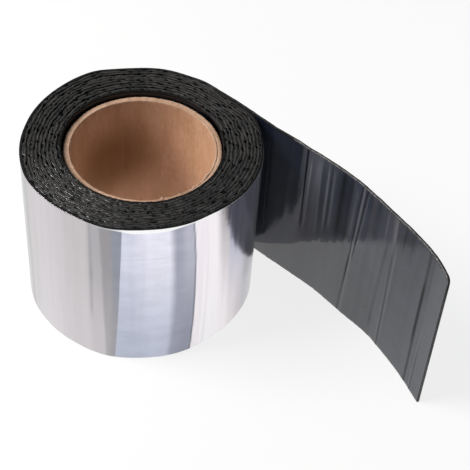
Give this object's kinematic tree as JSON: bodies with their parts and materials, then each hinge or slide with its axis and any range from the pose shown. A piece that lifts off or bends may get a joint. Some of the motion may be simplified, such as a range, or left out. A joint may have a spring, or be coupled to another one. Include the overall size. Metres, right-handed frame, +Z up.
{
  "type": "roll of bitumen repair tape",
  "caption": "Roll of foil-faced bitumen repair tape on a cardboard core, standing on its end, with the free end of the tape standing on its edge beside it.",
  "frame": {"origin": "on the floor, under the middle of the part's bounding box; the roll's axis is at x = -0.05466, y = 0.00175", "axes": "+Z up along the roll's axis; +X the way in which the free end of the tape leaves the roll"},
  "size_m": [0.2354, 0.1226, 0.1],
  "materials": {
    "tape": "black bitumen with bright aluminium foil on its outer face and a glossy dark release film on its inner face",
    "cardboard": "plain brown board, pale and slightly frayed at its cut ends"
  },
  "bodies": {
    "root": {"tape": "tape", "cardboard_core": "cardboard"}
  },
  "joints": []
}
